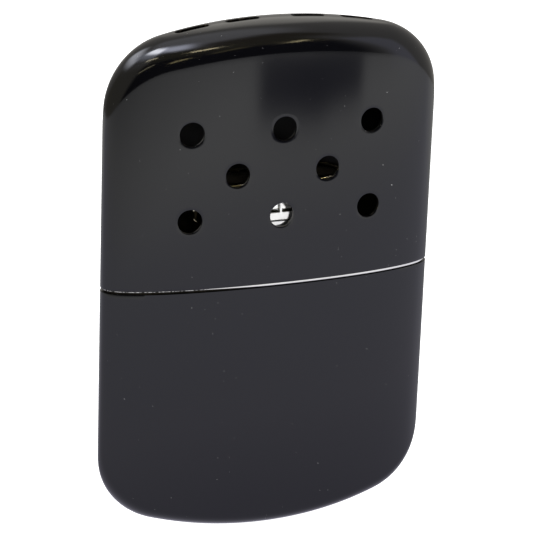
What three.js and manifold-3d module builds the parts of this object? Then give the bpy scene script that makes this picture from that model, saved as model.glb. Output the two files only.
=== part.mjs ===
// Refillable catalytic hand warmer, in millimetres, +Z up, front face towards -Y.
// The origin is the middle of the small flat that it stands on.
//
// A drawn steel case holds cotton soaked with lighter fluid. A chromed collar stands out of the
// case, and a drawn cap with vent holes slides on over it. Under the cap an oval burner, which
// holds a mat of platinum-coated glass fibre, grips the filler neck and lifts off for filling.
import * as THREE from 'three';
import { mergeVertices } from 'three/addons/utils/BufferGeometryUtils.js';
import Module from 'manifold-3d';

const wasm = await Module();
wasm.setup();

// Whole body, cap closed
const bodyWidth = 66;
const bodyHeight = 100.5;
const bodyThickness = 13.7;
const footFlatDepth = 0.3;
const sectionPower = 2.16;
const topCornerRadius = 14.2;
const topEndRadius = 105;
const topRoundHeight = 5.2;
const bottomCornerRadius = 13.7;
const bottomEndRadius = 80.5;
const bottomRoundHeight = 3.4;

// Drawn shells and the seam between them
const shellWall = 0.6;
const seamHeight = 50.3;
const seamGap = 0.6;

// Vent holes in the front and back of the cap, in rows of three, two and three
const ventDiameter = 4.7;
const ventPitch = 17.84;
const ventRowPitch = 8.4;
const ventTopRowDrop = 19.6;

// Slots along the top of the cap
const slotLength = 6.6;
const slotWidth = 1.6;
const slotInnerOffset = 6.43;
const slotOuterOffset = 16.25;
const slotDepth = 3;

// Collar sleeve, which the cap slides on
const collarFit = 0.12;
const collarWall = 0.5;
const collarRise = 6.4;
const collarSeat = 5;
const beadHeight = 0.3;
const beadSetback = 0.3;

// Pressed plate that closes the top of the tank
const plateWall = 0.5;
const plateRise = 0.9;
const plateShoulder = 0.8;

// Oval filler neck
const neckWidth = 28.4;
const neckDepth = 9;
const neckWall = 0.45;
const neckFit = 0.15;
const neckRise = 4.3;
const neckTail = 0.3;
const neckFlange = 0.45;
const neckFlangeHeight = 0.4;

// Screen and wick felt inside the neck
const packingGap = 0.3;
const screenFit = 0.1;
const screenThickness = 0.4;
const screenSetback = 0.6;
const screenSlotWidth = 1.1;
const screenSlotLength = 4.4;
const screenSlotPitch = 2.6;

// Cotton wads in the tank
const cottonGap = 0.4;
const wadCount = 3;

// Burner skirt, which grips the neck
const skirtSeatGap = 0.15;
const skirtFit = 0.15;
const skirtWall = 0.4;
const skirtHeight = 4.35;

// Burner cage, which holds the catalyst mat behind its windows
const cageWidth = 30;
const cageDepth = 10.6;
const cageWall = 0.4;
const cageSkirtGap = 0.15;
const cageHeight = 7.55;
const cageBand = 1.35;
const cageTopBand = 0.9;
const cageLip = 0.9;
const cageBarWidth = 0.45;
const windowPitch = 4.5;
const windowsPerSide = 4;

// Catalyst mat and the slotted shelf under it
const shelfFit = 0.1;
const shelfThickness = 0.35;
const shelfDrop = 0.1;
const shelfSlotWidth = 1.4;
const shelfSlotLength = 5.2;
const shelfSlotPitch = 3.4;
const matFit = 0.3;
const matShelfGap = 0.45;
const matLipGap = 0.3;
const matRound = 0.7;

// How far a cutting tool runs past what it cuts
const overrun = 2;

// Facet counts
const halfColumns = 15;
const roundSteps = 7;
const ringPoints = 56;
const ventSides = 24;
const endSides = 10;

// Heights worked out from the sizes above
const ventTopRow = bodyHeight - ventTopRowDrop;
const caseEdge = seamHeight - seamGap / 2;
const capEdge = seamHeight + seamGap / 2;
const collarTop = seamHeight + collarRise;
const plateTop = collarTop + plateRise;
const neckBottom = plateTop - plateWall - neckTail;
const neckFlangeTop = plateTop + neckFlangeHeight;
const neckTop = plateTop + neckRise;
const screenTop = neckTop - screenSetback;
const skirtBottom = neckFlangeTop + skirtSeatGap;
const skirtTop = skirtBottom + skirtHeight;
const cageBottom = skirtTop + cageSkirtGap;
const cageTop = cageBottom + cageHeight;
const windowBottom = cageBottom + cageBand;
const windowTop = cageTop - cageTopBand;
const shelfTop = windowBottom - shelfDrop;

// Materials
const blackEnamel = new THREE.MeshStandardMaterial({ color: 0x141417, roughness: 0.25, metalness: 0 });
const chrome = new THREE.MeshStandardMaterial({ color: 0xd8dadd, roughness: 0.12, metalness: 1 });
const burnerSteel = new THREE.MeshStandardMaterial({ color: 0xc9cacc, roughness: 0.25, metalness: 1 });
const glassFibre = new THREE.MeshStandardMaterial({ color: 0xb9b6ae, roughness: 0.95, metalness: 0 });
const cotton = new THREE.MeshStandardMaterial({ color: 0xefece4, roughness: 1, metalness: 0 });
const feltGrey = new THREE.MeshStandardMaterial({ color: 0xcfcabd, roughness: 1, metalness: 0 });

// Closed mesh from a list of points and a list of triangles
function meshFrom(points, triangles) {
  const geometry = new THREE.BufferGeometry();
  geometry.setAttribute('position', new THREE.Float32BufferAttribute(points.flat(), 3));
  geometry.setIndex(triangles.flat());
  return mergeVertices(geometry, mergeTolerance);
}
const mergeTolerance = 1e-5;

function solid(geometry) {
  const bare = geometry.clone();
  bare.deleteAttribute('normal');
  bare.deleteAttribute('uv');
  const merged = mergeVertices(bare, mergeTolerance);
  return new wasm.Manifold(new wasm.Mesh({
    numProp: 3,
    vertProperties: new Float32Array(merged.attributes.position.array),
    triVerts: new Uint32Array(merged.index.array),
  }));
}

function geometryOf(body) {
  const mesh = body.getMesh();
  const geometry = new THREE.BufferGeometry();
  geometry.setAttribute('position', new THREE.BufferAttribute(mesh.vertProperties, 3));
  geometry.setIndex(new THREE.BufferAttribute(mesh.triVerts, 1));
  return geometry;
}

// The body's form: a flattened oval section, the same all the way up, whose ends are rounded over
function bodyForm(inset) {
  return {
    halfWidth: bodyWidth / 2 - inset,
    halfDepth: bodyThickness / 2 - inset,
    top: { z: bodyHeight - inset, corner: topCornerRadius - inset, end: topEndRadius - inset,
      round: topRoundHeight - inset, up: 1 },
    bottom: { z: inset - footFlatDepth, corner: bottomCornerRadius - inset,
      end: bottomEndRadius - inset, round: bottomRoundHeight - inset, up: -1 },
  };
}

function sectionDepth(form, x) {
  const across = Math.min(Math.abs(x) / form.halfWidth, 1);
  return form.halfDepth * (1 - across ** sectionPower) ** (1 / sectionPower);
}

// Height of the outline at x: a wide end arc that runs into a corner arc, which ends on the side
function outlineHeight(form, end, x) {
  const cornerX = form.halfWidth - end.corner;
  const cornerDrop = end.end - Math.sqrt((end.end - end.corner) ** 2 - cornerX ** 2);
  const joinX = cornerX * end.end / (end.end - end.corner);
  const across = Math.abs(x);
  const drop = across <= joinX
    ? end.end - Math.sqrt(end.end ** 2 - across ** 2)
    : cornerDrop - Math.sqrt(Math.max(end.corner ** 2 - (across - cornerX) ** 2, 0));
  return end.z - end.up * drop;
}

// Closed body of a form: a front and a back sheet that share the outline
function bodySolid(form) {
  const columns = [];
  for (let i = -halfColumns; i <= halfColumns; i += 1) {
    columns.push(form.halfWidth * Math.sin((i / halfColumns) * Math.PI / 2));
  }
  const turns = [];
  for (let j = 0; j <= roundSteps; j += 1) turns.push((j / roundSteps) * Math.PI / 2);
  const point = (x, end, turn, side) => [
    x,
    side * sectionDepth(form, x) * Math.sin(turn),
    outlineHeight(form, end, x) - end.up * end.round * (1 - Math.cos(turn)),
  ];
  const rows = [
    ...turns.map((turn) => (x, side) => point(x, form.bottom, turn, side)),
    ...turns.toReversed().map((turn) => (x, side) => point(x, form.top, turn, side)),
  ];
  const points = [];
  const triangles = [];
  for (const side of [-1, 1]) {
    const start = points.length;
    for (const row of rows) for (const x of columns) points.push(row(x, side));
    for (let j = 0; j < rows.length - 1; j += 1) {
      for (let i = 0; i < columns.length - 1; i += 1) {
        const a = start + j * columns.length + i;
        const b = a + 1;
        const c = b + columns.length;
        const d = a + columns.length;
        const quad = i < halfColumns ? [[a, b, c], [a, c, d]] : [[a, b, d], [b, c, d]];
        for (const [p, q, r] of quad) triangles.push(side < 0 ? [p, q, r] : [p, r, q]);
      }
    }
  }
  return solid(dropSlivers(meshFrom(points, triangles)));
}

// Triangles that lost an edge when shared points were merged are left out
function dropSlivers(geometry) {
  const kept = [];
  const index = geometry.index.array;
  for (let k = 0; k < index.length; k += 3) {
    const [a, b, c] = [index[k], index[k + 1], index[k + 2]];
    if (a !== b && b !== c && c !== a) kept.push(a, b, c);
  }
  geometry.setIndex(kept);
  return geometry;
}

// Outlines, as functions that give the points for an inset
function ovalOutline(inset) {
  const form = bodyForm(inset);
  return Array.from({ length: ringPoints }, (_, k) => {
    const turn = (k / ringPoints) * 2 * Math.PI;
    const x = form.halfWidth * Math.cos(turn);
    return [x, Math.sign(Math.sin(turn)) * sectionDepth(form, x)];
  });
}

function stadiumOutline(width, depth) {
  return (inset) => {
    const radius = depth / 2 - inset;
    const centreX = (width - depth) / 2;
    const points = [];
    for (const side of [1, -1]) {
      for (let k = 0; k <= endSides; k += 1) {
        const turn = side * Math.PI / 2 * (2 * k / endSides - 1) * side + (side < 0 ? Math.PI : 0);
        points.push([side * centreX + radius * Math.cos(turn), radius * Math.sin(turn)]);
      }
    }
    return points;
  };
}

// Solid through rings of one outline, each given as [inset, height], from the bottom up.
// With ring true the rings close on themselves as a tube; otherwise both ends are capped.
function ringLoft(outline, profile, ring) {
  const rings = profile.map(([inset, z]) => outline(inset).map(([x, y]) => [x, y, z]));
  const count = rings[0].length;
  const points = rings.flat();
  const triangles = [];
  const steps = ring ? rings.length : rings.length - 1;
  for (let j = 0; j < steps; j += 1) {
    const low = j * count;
    const high = ((j + 1) % rings.length) * count;
    for (let i = 0; i < count; i += 1) {
      const next = (i + 1) % count;
      triangles.push([low + i, low + next, high + next], [low + i, high + next, high + i]);
    }
  }
  if (!ring) {
    const last = (rings.length - 1) * count;
    for (let i = 1; i < count - 1; i += 1) {
      triangles.push([0, i + 1, i], [last, last + i, last + i + 1]);
    }
  }
  return solid(meshFrom(points, triangles));
}

function prism(outline, inset, bottom, top) {
  return ringLoft(outline, [[inset, bottom], [inset, top]], false);
}

function boxBetween([x0, y0, z0], [x1, y1, z1]) {
  const geometry = new THREE.BoxGeometry(x1 - x0, y1 - y0, z1 - z0);
  geometry.translate((x0 + x1) / 2, (y0 + y1) / 2, (z0 + z1) / 2);
  return solid(geometry);
}

// Everything between two heights, wider than the body
function slab(bottom, top) {
  const reach = bodyWidth / 2 + overrun;
  return boxBetween([-reach, -reach, bottom], [reach, reach, top]);
}

function cutAll(body, tools) {
  return tools.reduce((rest, tool) => rest.subtract(tool), body);
}

const parts = new THREE.Group();

function addPart(group, name, body, material) {
  const mesh = new THREE.Mesh(geometryOf(body), material);
  mesh.name = name;
  group.add(mesh);
}

// Drawn shells: the whole hollow body, cut at the seam
const outerBody = bodySolid(bodyForm(0)).intersect(slab(0, bodyHeight + overrun));
const innerForm = bodyForm(shellWall);
const hollowBody = outerBody.subtract(bodySolid(innerForm).intersect(
  slab(shellWall, bodyHeight + overrun)));

function ventTools() {
  const rows = [[-1, 0, 1], [-1 / 2, 1 / 2], [-1, 0, 1]];
  return rows.flatMap((shares, row) => shares.map((share) => {
    const length = bodyThickness + 2 * overrun;
    const geometry = new THREE.CylinderGeometry(ventDiameter / 2, ventDiameter / 2, length, ventSides);
    geometry.translate(share * ventPitch, 0, 0);
    const tool = solid(geometry);
    return tool.translate([0, 0, ventTopRow - row * ventRowPitch]);
  }));
}

function slotTool(x) {
  const top = outlineHeight(bodyForm(0), bodyForm(0).top, x);
  const tool = prism(stadiumOutline(slotLength, slotWidth), 0, top - slotDepth, top + overrun);
  return tool.translate([x, 0, 0]);
}

const cap = new THREE.Group();
const slotPlaces = [-slotOuterOffset, -slotInnerOffset, slotInnerOffset, slotOuterOffset];
addPart(cap, 'cap_shell', cutAll(hollowBody.intersect(slab(capEdge, bodyHeight + overrun)),
  [...ventTools(), ...slotPlaces.map(slotTool)]), blackEnamel);
parts.add(cap);

// Tank
const tank = new THREE.Group();
addPart(tank, 'tank_case', hollowBody.intersect(slab(0, caseEdge)), blackEnamel);

const collarInset = shellWall + collarFit;
const collarInnerInset = collarInset + collarWall;
addPart(tank, 'collar_sleeve', ringLoft(ovalOutline, [
  [collarInset, caseEdge - collarSeat],
  [collarInset, caseEdge],
  [beadSetback, caseEdge],
  [beadSetback, caseEdge + beadHeight],
  [collarInset, caseEdge + beadHeight],
  [collarInset, collarTop],
  [collarInnerInset, collarTop],
  [collarInnerInset, caseEdge - collarSeat],
], true), chrome);

function plateDome(inset, rise) {
  const profile = [[inset, collarTop]];
  for (let k = 1; k <= roundSteps; k += 1) {
    const turn = (k / roundSteps) * Math.PI / 2;
    profile.push([inset + plateShoulder * (1 - Math.cos(turn)), collarTop + rise * Math.sin(turn)]);
  }
  return ringLoft(ovalOutline, profile, false);
}
const neckOutline = stadiumOutline(neckWidth, neckDepth);
addPart(tank, 'tank_top_plate', plateDome(collarInset, plateRise)
  .subtract(plateDome(collarInset + plateWall, plateRise - plateWall))
  .subtract(prism(neckOutline, -neckFit, collarTop - overrun, plateTop + overrun)), chrome);

addPart(tank, 'filler_neck', ringLoft(neckOutline, [
  [0, neckBottom],
  [0, plateTop],
  [-neckFlange, plateTop],
  [-neckFlange, neckFlangeTop],
  [0, neckFlangeTop],
  [0, neckTop],
  [neckWall, neckTop],
  [neckWall, neckBottom],
], true), chrome);

// Slots in rows across a flat plate, as many as fit inside the given length
function slotRow(length, pitch, slotShort, slotLong, bottom, top) {
  const count = Math.floor((length - slotLong) / pitch);
  return Array.from({ length: count }, (_, k) => {
    const x = (k - (count - 1) / 2) * pitch;
    return boxBetween([x - slotShort / 2, -slotLong / 2, bottom], [x + slotShort / 2, slotLong / 2, top]);
  });
}

const screenInset = neckWall + screenFit;
addPart(tank, 'neck_screen', cutAll(
  prism(neckOutline, screenInset, screenTop - screenThickness, screenTop),
  slotRow(neckWidth, screenSlotPitch, screenSlotWidth, screenSlotLength,
    screenTop - screenThickness - overrun, screenTop + overrun)), burnerSteel);

addPart(tank, 'wick_felt', prism(neckOutline, neckWall + packingGap, neckBottom,
  screenTop - screenThickness - packingGap), feltGrey);

// Cotton fills the tank in three wads, one above the other
const cottonForm = bodyForm(collarInnerInset + cottonGap);
const cottonBottom = cottonForm.bottom.z;
const cottonTop = neckBottom - cottonGap;
const wadHeight = (cottonTop - cottonBottom) / wadCount;
const cottonBody = bodySolid(cottonForm);
['cotton_lower', 'cotton_middle', 'cotton_upper'].forEach((name, k) => {
  const bottom = cottonBottom + k * wadHeight;
  const wad = cottonBody.intersect(slab(bottom + packingGap / 2, bottom + wadHeight - packingGap / 2));
  addPart(tank, name, wad, cotton);
});
parts.add(tank);

// Burner
const burner = new THREE.Group();
addPart(burner, 'burner_skirt', ringLoft(neckOutline, [
  [-skirtFit - skirtWall, skirtBottom],
  [-skirtFit - skirtWall, skirtTop],
  [-skirtFit, skirtTop],
  [-skirtFit, skirtBottom],
], true), burnerSteel);

const cageOutline = stadiumOutline(cageWidth, cageDepth);
const cageShell = ringLoft(cageOutline, [
  [0, cageBottom],
  [0, cageTop],
  [cageWall + cageLip, cageTop],
  [cageWall + cageLip, cageTop - cageWall],
  [cageWall, cageTop - cageWall],
  [cageWall, cageBottom],
], true);
const windowTools = Array.from({ length: windowsPerSide }, (_, k) => {
  const x = (k - (windowsPerSide - 1) / 2) * windowPitch;
  const half = (windowPitch - cageBarWidth) / 2;
  const reach = cageDepth / 2 + overrun;
  return boxBetween([x - half, -reach, windowBottom], [x + half, reach, windowTop]);
});
addPart(burner, 'burner_cage', cutAll(cageShell, windowTools), burnerSteel);

addPart(burner, 'mat_shelf', cutAll(
  prism(cageOutline, cageWall + shelfFit, shelfTop - shelfThickness, shelfTop),
  slotRow(cageWidth, shelfSlotPitch, shelfSlotWidth, shelfSlotLength,
    shelfTop - shelfThickness - overrun, shelfTop + overrun)), burnerSteel);

const matBottom = shelfTop + matShelfGap;
const matTop = cageTop - cageWall - matLipGap;
const matInset = cageWall + matFit;
addPart(burner, 'catalyst_mat', ringLoft(cageOutline, [
  [matInset + matRound, matBottom],
  [matInset, matBottom + matRound],
  [matInset, matTop - matRound],
  [matInset + matRound, matTop],
], false), glassFibre);
parts.add(burner);

export default parts;
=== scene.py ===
import math
import random

import bmesh
import bpy
from mathutils import Matrix, Vector, noise


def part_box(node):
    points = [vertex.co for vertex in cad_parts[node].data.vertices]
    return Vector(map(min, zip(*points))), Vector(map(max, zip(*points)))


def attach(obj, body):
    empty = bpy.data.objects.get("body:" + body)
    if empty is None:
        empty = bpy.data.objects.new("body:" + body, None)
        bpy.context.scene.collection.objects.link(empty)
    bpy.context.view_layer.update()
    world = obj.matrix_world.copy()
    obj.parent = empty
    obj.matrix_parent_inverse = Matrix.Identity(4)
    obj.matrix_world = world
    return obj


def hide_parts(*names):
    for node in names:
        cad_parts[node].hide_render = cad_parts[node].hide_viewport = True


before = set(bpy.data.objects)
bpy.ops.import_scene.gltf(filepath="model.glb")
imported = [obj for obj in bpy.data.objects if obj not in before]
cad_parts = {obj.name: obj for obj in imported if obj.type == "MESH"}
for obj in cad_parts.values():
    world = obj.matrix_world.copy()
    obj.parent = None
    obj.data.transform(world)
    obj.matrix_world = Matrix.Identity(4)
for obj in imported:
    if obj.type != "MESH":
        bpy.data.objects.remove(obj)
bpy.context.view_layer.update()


# Camera. A long lens, a little above the warmer and to its left, at the photograph's angle, and
# shifted so that the warmer stands where it stands there.
MM = 0.001
VIEW_AZIMUTH = -22.2
VIEW_ELEVATION = 20.19
VIEW_ROLL = math.radians(2.05)
VIEW_DISTANCE = 536.76 * MM
VIEW_HEIGHT = 50.1 * MM
LENS = {
    "lens": 191.07, "sensor_width": 36.0, "shift_x": 0.0012, "shift_y": 0.0128,
    "clip_start": 0.01, "clip_end": 50.0,
}


def set_up(thing, **settings):
    for name, value in settings.items():
        setattr(thing, name, value)
    return thing


def put_in_scene(name, data, **settings):
    thing = set_up(bpy.data.objects.new(name, data), **settings)
    bpy.context.scene.collection.objects.link(thing)
    return thing


def direction(azimuth, elevation=0.0):
    """Unit vector from angles in degrees: azimuth 0 in front, 90 on the right."""
    turn, rise = math.radians(azimuth), math.radians(elevation)
    level = math.cos(rise)
    return Vector((level * math.sin(turn), -level * math.cos(turn), math.sin(rise)))


def view_camera():
    back = direction(VIEW_AZIMUTH, VIEW_ELEVATION)
    level = direction(VIEW_AZIMUTH + 90)
    right = math.cos(VIEW_ROLL) * level + math.sin(VIEW_ROLL) * back.cross(level)
    turn = Matrix((right, back.cross(right), back)).transposed().to_4x4()
    place = Vector((0, 0, VIEW_HEIGHT)) + VIEW_DISTANCE * back
    bpy.context.scene.camera = put_in_scene(
        "view_camera", set_up(bpy.data.cameras.new("view_camera"), **LENS),
        matrix_world=Matrix.Translation(place) @ turn)


view_camera()


# Tank case. The lower half of the body: deep-drawn from steel sheet to a flattened oval with a
# rounded bottom and a small flat to stand on, then coated outside with black enamel.
case_low, case_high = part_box("tank_case")
HALF_WIDTH = case_high.x
HALF_DEPTH = case_high.y
SECTION_POWER = 2.16
SHELL_WALL = 0.6 * MM
SHELL_EDGE_ROUND = 0.22 * MM
FOOT_DEPTH = 0.3 * MM
BOTTOM = {"z": -FOOT_DEPTH, "up": -1, "corner": 13.7 * MM, "arc": 80.5 * MM, "round": 3.4 * MM}
CASE_COLUMNS = 64
CASE_TURNS = 18
CASE_ROWS = 44
MERGE = 0.002 * MM
SHARP_ANGLE = math.radians(38)
SOFTENED_ANGLE = math.radians(50)


def clamped(value, low=0.0, high=1.0):
    return min(max(value, low), high)


def section_depth(x, inset=0.0):
    """Half the body's depth at x: a flattened oval."""
    across = min(abs(x) / (HALF_WIDTH - inset), 1.0)
    return (HALF_DEPTH - inset) * (1 - across ** SECTION_POWER) ** (1 / SECTION_POWER)


def outline_z(end, x):
    """Height of the outline at x: a wide arc that runs into a corner arc on each side."""
    corner, arc = end["corner"], end["arc"]
    corner_x = HALF_WIDTH - corner
    across = abs(x)
    if across <= corner_x * arc / (arc - corner):
        drop = arc - math.sqrt(arc ** 2 - across ** 2)
    else:
        corner_drop = arc - math.sqrt((arc - corner) ** 2 - corner_x ** 2)
        drop = corner_drop - math.sqrt(max(corner ** 2 - (across - corner_x) ** 2, 0))
    return end["z"] - end["up"] * drop


def crease_z(end, x):
    """Where the rounded end starts to turn in."""
    return outline_z(end, x) - end["up"] * end["round"]


def rounded_end_z(end, x, y):
    """Height of the rounded end over a point of the section."""
    depth = section_depth(x)
    share = min(abs(y) / depth, 1.0) if depth > 0 else 0.0
    return crease_z(end, x) + end["up"] * end["round"] * math.sqrt(1 - share ** 2)


def grid_cells(bm, across, along):
    """A flat grid, with each vertex and its place in it as whole numbers."""
    made = bmesh.ops.create_grid(bm, x_segments=across, y_segments=along, size=1)
    return [
        (v, round((v.co.x + 1) / 2 * across), round((v.co.y + 1) / 2 * along))
        for v in made["verts"]
    ]


def closed_up(bm):
    bmesh.ops.remove_doubles(bm, verts=bm.verts, dist=MERGE)
    bmesh.ops.dissolve_degenerate(bm, edges=bm.edges, dist=MERGE)
    bmesh.ops.recalc_face_normals(bm, faces=bm.faces)


def drawn_half(end, columns, rows, edge_z, punched=None):
    """A drawn half of the body: its front from the ridge to the open edge, mirrored. A row is a
    turn over the rounded end, a share of the way down from the crease, or a height."""
    flat_x = punched["reach"] if punched else columns[-1]
    in_hole = set()
    bm = bmesh.new()
    for v, i, j in grid_cells(bm, len(columns) - 1, len(rows) - 1):
        x = columns[i]
        kind, value = rows[j]
        hole = False
        squeeze = (crease_z(end, x) - edge_z) / (crease_z(end, min(abs(x), flat_x)) - edge_z)
        if kind == "turn":
            y = section_depth(x) * math.sin(value)
            z = crease_z(end, x) + end["up"] * end["round"] * math.cos(value)
            if punched:
                to_x, to_y, hole = punched["ridge"](x, y, j)
                if (to_x, to_y) != (x, y):
                    x, y, z = to_x, to_y, rounded_end_z(end, to_x, to_y)
            v.co = Vector((x, -y, z))
        elif kind == "share":
            start, stop, share = value
            top = crease_z(end, x) if start is None else edge_z + (start - edge_z) * squeeze
            foot = edge_z + (stop - edge_z) * squeeze
            v.co = Vector((x, -section_depth(x), top + (foot - top) * share))
        else:
            x, z, hole = punched["face"](x, value)
            v.co = Vector((x, -section_depth(x), edge_z + (z - edge_z) * squeeze))
        if hole:
            in_hole.add(v)
    holes = [f for f in bm.faces if all(v in in_hole for v in f.verts)]
    bmesh.ops.delete(bm, geom=holes, context="FACES")
    bmesh.ops.mirror(bm, geom=bm.verts[:] + bm.edges[:] + bm.faces[:], axis="Y", merge_dist=MERGE)
    closed_up(bm)
    return bm


def give_wall(bm, wall, inner=0, rim=0):
    """Thickens a sheet inwards; the inner skin and the cut rims can have their own materials."""
    outer = set(bm.faces)
    made = bmesh.ops.solidify(bm, geom=bm.faces[:], thickness=wall)
    skin = {g for g in made["geom"] if isinstance(g, bmesh.types.BMFace)}
    for f in bm.faces:
        f.material_index = 0 if f in outer else inner if f in skin else rim


def bevelled(bm, geom, width, segments, affect):
    bmesh.ops.bevel(
        bm, geom=geom, offset=width, offset_type="OFFSET", segments=segments,
        profile=0.5, affect=affect, material=-1, clamp_overlap=True,
    )


def soften_edges(bm, width, segments=3, below=math.inf):
    """Rounds the sharp edges, or those of them that lie below a height."""
    bm.normal_update()
    edges = [
        e for e in bm.edges
        if len(e.link_faces) == 2 and e.calc_face_angle() > SOFTENED_ANGLE
        and max(v.co.z for v in e.verts) < below
    ]
    bevelled(bm, edges, width, segments, "EDGES")


def mesh_in_scene(name, bm, materials, **settings):
    mesh = bpy.data.meshes.new(name)
    bm.to_mesh(mesh)
    bm.free()
    for material in materials:
        mesh.materials.append(material)
    return put_in_scene(name, mesh, **settings)


def finished(name, bm, body, slot, materials, *nodes):
    piece = mesh_in_scene(name, bm, materials)
    piece.data.shade_smooth()
    piece.data.set_sharp_from_angle(angle=SHARP_ANGLE)
    set_up(piece.modifiers.new("even_normals", "WEIGHTED_NORMAL"), keep_sharp=True)
    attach(piece, body)
    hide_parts(*nodes)
    return piece


def feed(socket, value):
    """Gives an input a value, or links it to another node's output."""
    if isinstance(value, bpy.types.NodeSocket):
        socket.id_data.links.new(value, socket)
    else:
        socket.default_value = value


def plug(target, **inputs):
    """Feeds a node's inputs; an underscore stands for a space in their names."""
    for name, value in inputs.items():
        feed(target.inputs[name.replace("_", " ")], value)


def new_material(name, **inputs):
    material = bpy.data.materials.new(name)
    material.use_nodes = True
    shader = material.node_tree.nodes["Principled BSDF"]
    plug(shader, **inputs)
    return material, material.node_tree, shader


def node(tree, kind, **values):
    """A new node, given its settings and inputs."""
    made = tree.nodes.new(kind)
    for name, value in values.items():
        if hasattr(made, name):
            setattr(made, name, value)
        else:
            plug(made, **{name: value})
    return made


def effect(name, results, **inputs):
    """A shader node group for an effect that several finishes share."""
    group = bpy.data.node_groups.new(name, "ShaderNodeTree")
    for given, value in inputs.items():
        made = group.interface.new_socket(
            given.replace("_", " "), in_out="INPUT", socket_type="NodeSocketFloat")
        made.default_value = value
    for result in results:
        kind = "NodeSocketVector" if result == "Normal" else "NodeSocketFloat"
        group.interface.new_socket(result, in_out="OUTPUT", socket_type=kind)
    return group, group.nodes.new("NodeGroupInput").outputs, group.nodes.new("NodeGroupOutput")


def placed(tree, group, **values):
    return node(tree, "ShaderNodeGroup", node_tree=group, **values).outputs


def computed(operation, *values, kind="ShaderNodeMath"):
    """Arithmetic on values, of which at least one is another node's output."""
    tree = next(v.id_data for v in values if isinstance(v, bpy.types.NodeSocket))
    made = node(tree, kind, operation=operation)
    for socket, value in zip(made.inputs, values):
        feed(socket, value)
    return made.outputs["Value"]


def object_place(tree, stretch=(1, 1, 1)):
    """Object coordinates in millimetres, stretched along an axis where a pattern is drawn out."""
    place = node(tree, "ShaderNodeTexCoord").outputs["Object"]
    scale = [1 / (MM * s) for s in stretch]
    return node(tree, "ShaderNodeMapping", Vector=place, Scale=scale).outputs["Vector"]


def clouds(tree, stretch=(1, 1, 1), **values):
    """Noise over a piece, from 0 to 1."""
    place = object_place(tree, stretch)
    return node(tree, "ShaderNodeTexNoise", Vector=place, **values).outputs["Fac"]


def graded(value, *stops):
    """A colour ramp given as (place, colour) stops."""
    ramp = node(value.id_data, "ShaderNodeValToRGB", Fac=value)
    while len(ramp.color_ramp.elements) < len(stops):
        ramp.color_ramp.elements.new(0.5)
    for element, (place, color) in zip(ramp.color_ramp.elements, stops):
        element.position = place
        element.color = (*color, 1)
    return ramp.outputs["Color"]


def spread(value, low, high, start=0.0, stop=1.0):
    """What lies between start and stop, spread between two other values."""
    return node(
        value.id_data, "ShaderNodeMapRange", Value=value, From_Min=start, From_Max=stop,
        To_Min=low, To_Max=high).outputs["Result"]


def mixed(share, first, second):
    mix = node(share.id_data, "ShaderNodeMix", data_type="RGBA", Factor=share, A=first, B=second)
    return mix.outputs["Result"]


def bumped(value, height):
    """Normal of a surface that stands out by a value times a height in millimetres."""
    rise = computed("MULTIPLY", value, height)
    bump = node(value.id_data, "ShaderNodeBump", Strength=1.0, Distance=MM, Height=rise)
    return bump.outputs["Normal"]


def scattered_dust():
    """Mask of small specks: the middles of a few Voronoi cells."""
    group, given, result = effect("scattered_dust", ["Mask"], Cell=2.6, Size=0.05, Left_Out=0.9)
    cells = node(
        group, "ShaderNodeTexVoronoi", feature="F1", Vector=object_place(group),
        Scale=computed("DIVIDE", 1.0, given["Cell"])).outputs
    color = node(group, "ShaderNodeSeparateColor", Color=cells["Color"]).outputs
    size = computed("MULTIPLY", given["Size"], color["Green"])
    near = computed("LESS_THAN", cells["Distance"], size)
    chosen = computed("GREATER_THAN", color["Red"], given["Left Out"])
    plug(result, Mask=computed("MULTIPLY", near, chosen))
    return group


def soft_waves():
    """Normal of a surface that is a little uneven, such as the skin of baked enamel."""
    group, given, result = effect("soft_waves", ["Normal"], Width=0.8, Height=0.002)
    wave = clouds(group, Scale=computed("DIVIDE", 1.0, given["Width"]), Detail=2.0, Roughness=0.5)
    plug(result, Normal=bumped(wave, given["Height"]))
    return group


dust = scattered_dust()
waves = soft_waves()

ENAMEL_COLOR = (0.0018, 0.0019, 0.003, 1)
ENAMEL_DUST_COLOR = (0.5, 0.5, 0.5, 1)
ENAMEL_GLOSS = (0.09, 0.13)


def black_enamel():
    material, tree, shader = new_material("black_enamel", IOR=1.5)
    specks = placed(tree, dust, Cell=2.4, Size=0.045, Left_Out=0.5)
    fine_specks = placed(tree, dust, Cell=0.8, Size=0.07, Left_Out=0.8)
    dusty = computed("MAXIMUM", specks["Mask"], fine_specks["Mask"])
    plug(shader, Base_Color=mixed(dusty, ENAMEL_COLOR, ENAMEL_DUST_COLOR),
         Roughness=spread(clouds(tree, Scale=0.06, Detail=4.0), *ENAMEL_GLOSS),
         Normal=placed(tree, waves, Width=0.9, Height=0.0012)["Normal"])
    return material


def blotched(name, pattern, low, high, gloss=None, **inputs):
    """A finish mottled between two (place, colour) stops, and uneven in its gloss if given."""
    material, tree, shader = new_material(name, **inputs)
    blotch = clouds(tree, **pattern)
    plug(shader, Base_Color=graded(blotch, low, high))
    if gloss:
        plug(shader, Roughness=spread(blotch, *gloss))
    return material


# The enamel outside, the bare steel inside, nearly black, and the cut rims.
shell_finish = [
    black_enamel(),
    blotched("shell_inside", {"Scale": 0.25, "Detail": 6.0, "Roughness": 0.65},
             (0.3, (0.0025, 0.0022, 0.0018)), (0.7, (0.014, 0.012, 0.009)), (0.35, 0.6), IOR=1.4),
    blotched("worn_rim", {"Scale": 1.4, "Detail": 5.0},
             (0.5, (0.003, 0.003, 0.003)), (0.72, (0.09, 0.075, 0.055)), (0.2, 0.4), Metallic=0.35),
]


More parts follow.
